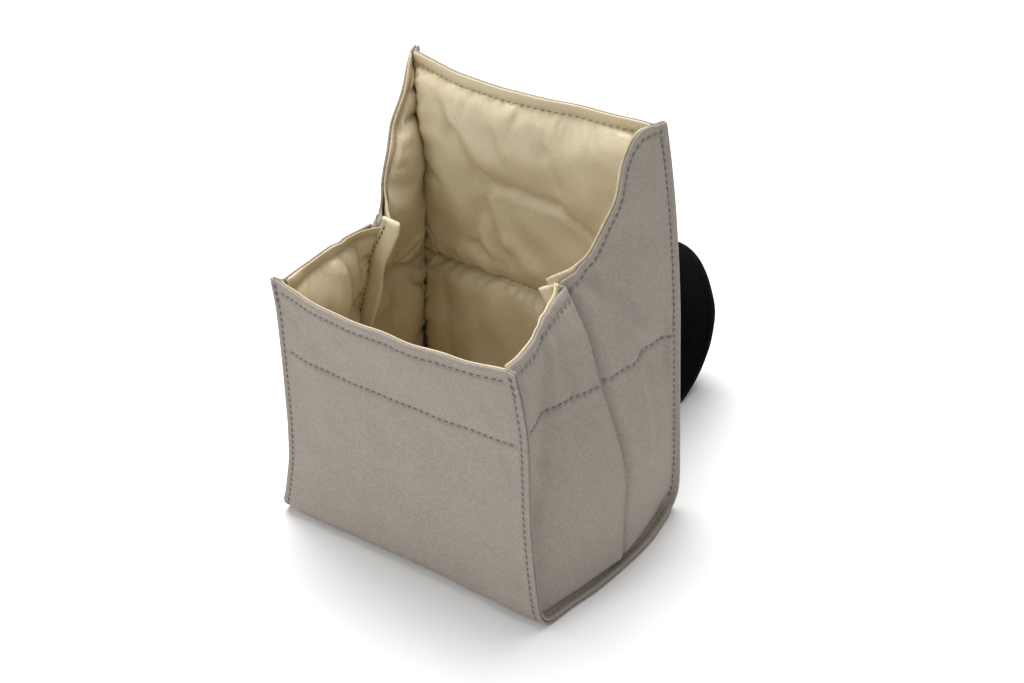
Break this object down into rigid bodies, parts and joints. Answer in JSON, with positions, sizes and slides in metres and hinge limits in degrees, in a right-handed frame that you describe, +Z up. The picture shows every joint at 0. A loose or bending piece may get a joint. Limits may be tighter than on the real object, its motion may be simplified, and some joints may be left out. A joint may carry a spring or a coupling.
{
  "type": "camera pouch",
  "caption": "Open-topped padded camera pouch in grey twill with a khaki satin lining, pleated sides, a high back and a wide webbing belt loop.",
  "frame": {"origin": "on the underside, under the middle of the body's width and of its depth over the sewn fins", "axes": "+Z up, +Y from the low front wall to the high back wall and the belt loop, +X to the right of the front view"},
  "size_m": [0.1404, 0.1845, 0.1705],
  "materials": {
    "twill": "warm grey cotton twill, matt",
    "satin": "khaki satin over thin padding, soft sheen",
    "tape": "cream cotton binding tape, matt",
    "webbing": "black ribbed webbing, matt"
  },
  "bodies": {
    "root": {"outer_wrap": "twill", "lining_wrap": "satin", "side_front_right": "twill", "side_rear_right": "twill", "lining_side_front_right": "satin", "lining_side_rear_right": "satin", "binding_right": "tape", "side_front_left": "twill", "side_rear_left": "twill", "lining_side_front_left": "satin", "lining_side_rear_left": "satin", "binding_left": "tape", "belt_loop": "webbing"}
  },
  "joints": []
}
